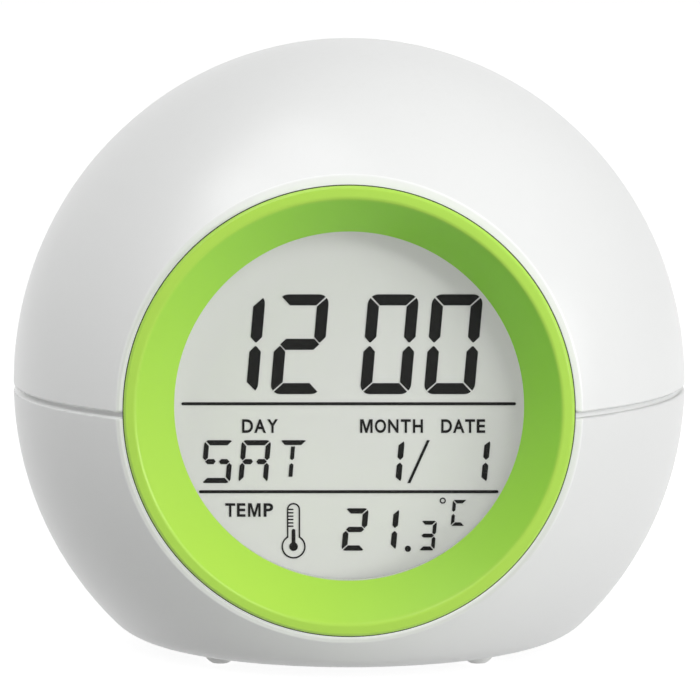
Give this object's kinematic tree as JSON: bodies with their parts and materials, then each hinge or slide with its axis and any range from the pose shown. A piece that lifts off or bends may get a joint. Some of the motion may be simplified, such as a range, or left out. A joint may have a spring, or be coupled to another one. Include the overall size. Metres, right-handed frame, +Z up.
{
  "type": "kids alarm clock with night light",
  "caption": "Ball-shaped desk alarm clock with a funnel bezel round a circular display, a press-down night-light dome, rear keys, a light switch and a slide-off battery door.",
  "frame": {"origin": "on the standing surface, under the middle of the clock's box", "axes": "+Z up, -Y out of the display, +X to the right as seen from the front"},
  "size_m": [0.09, 0.08, 0.0812],
  "materials": {
    "base_white": "fine satin, opaque white",
    "dome_white": "fine satin, translucent white",
    "bezel_green": "satin gloss lime green",
    "lens_clear": "clear acrylic",
    "display_glass": "thin display glass",
    "display_ink": "dark liquid crystal",
    "display_back": "silver-grey reflector film",
    "guide_clear": "frosted light guide",
    "frame_white": "moulded white",
    "board_green": "solder mask",
    "lamp_white": "lamp body with clear lens",
    "strip_grey": "striped elastomer",
    "chip_black": "black epoxy",
    "part_tan": "small ceramic and film parts",
    "can_steel": "drawn can",
    "screw_steel": "zinc plated",
    "spring_steel": "nickel plated wire and strip",
    "switch_black": "switch body",
    "plunger_grey": "switch plunger",
    "key_white": "satin white",
    "gasket_black": "foam ring",
    "cone_black": "film cone",
    "magnet_grey": "plated magnet cup",
    "cell_jacket": "plain cell jacket",
    "foot_grey": "soft light-grey rubber",
    "lead_red": "wire insulation",
    "lead_grey": "flat cable"
  },
  "bodies": {
    "clock": {"base_shell": "base_white", "bezel_ring": "bezel_green", "window_lens": "lens_clear", "display_frame": "frame_white", "bezel_screws": "screw_steel", "lcd_front_glass": "display_glass", "lcd_segments": "display_ink", "lcd_rear_glass": "display_glass", "lcd_reflector": "display_back", "light_guide": "guide_clear", "backlight_lamps": "lamp_white", "contact_strip": "strip_grey", "main_board": "board_green", "main_board_screws": "screw_steel", "display_stand_screws": "screw_steel", "controller_blob": "chip_black", "timing_crystal": "can_steel", "board_components": "part_tan", "temperature_sensor": "chip_black", "reflector_deck": "frame_white", "deck_screws": "screw_steel", "night_light_board": "board_green", "night_light_screws": "screw_steel", "night_light_lamps": "lamp_white", "snooze_switch": "switch_black", "dome_springs": "spring_steel", "key_switches": "switch_black", "key_board": "board_green", "key_board_screws": "screw_steel", "light_switch_body": "switch_black", "speaker_gasket": "gasket_black", "speaker_frame": "can_steel", "speaker_cone": "cone_black", "speaker_magnet": "magnet_grey", "lead_sockets": "frame_white", "key_ribbon": "lead_grey", "light_leads": "lead_grey", "battery_leads": "lead_red", "speaker_leads": "lead_red", "battery_tray": "frame_white", "battery_cells": "cell_jacket", "battery_contacts": "spring_steel", "battery_springs": "spring_steel", "tray_screws": "screw_steel", "front_feet": "foot_grey"},
    "dome": {"dome_shell": "dome_white", "dome_screws": "screw_steel", "dome_washers": "screw_steel", "snooze_plunger": "plunger_grey"},
    "light_switch": {"light_switch_knob": "key_white"},
    "battery_door": {"battery_door": "base_white", "rear_feet": "foot_grey"},
    "mode_key": {"mode_key": "key_white", "mode_plunger": "plunger_grey"},
    "set_key": {"set_key": "key_white", "set_plunger": "plunger_grey"},
    "up_key": {"up_key": "key_white", "up_plunger": "plunger_grey"},
    "down_key": {"down_key": "key_white", "down_plunger": "plunger_grey"}
  },
  "joints": [
    {"name": "dome_press", "type": "slide", "parent": "clock", "child": "dome", "axis": [0, 0, 1], "range_m": [-0.0005, 0], "stiffness_N_per_m": 3000, "springref_m": 0.0005, "deforming": ["dome_springs"]},
    {"name": "light_slide", "type": "slide", "parent": "clock", "child": "light_switch", "axis": [1, 0, 0], "range_m": [0, 0.003]},
    {"name": "battery_door_slide", "type": "slide", "parent": "clock", "child": "battery_door", "axis": [0, 1, 0], "range_m": [0, 0.008]},
    {"name": "mode_press", "type": "slide", "parent": "clock", "child": "mode_key", "axis": [0, 1, 0], "range_m": [-0.0005, 0], "stiffness_N_per_m": 1500, "springref_m": 0.0004},
    {"name": "set_press", "type": "slide", "parent": "clock", "child": "set_key", "axis": [0, 1, 0], "range_m": [-0.0005, 0], "stiffness_N_per_m": 1500, "springref_m": 0.0004},
    {"name": "up_press", "type": "slide", "parent": "clock", "child": "up_key", "axis": [0, 1, 0], "range_m": [-0.0005, 0], "stiffness_N_per_m": 1500, "springref_m": 0.0004},
    {"name": "down_press", "type": "slide", "parent": "clock", "child": "down_key", "axis": [0, 1, 0], "range_m": [-0.0005, 0], "stiffness_N_per_m": 1500, "springref_m": 0.0004}
  ]
}
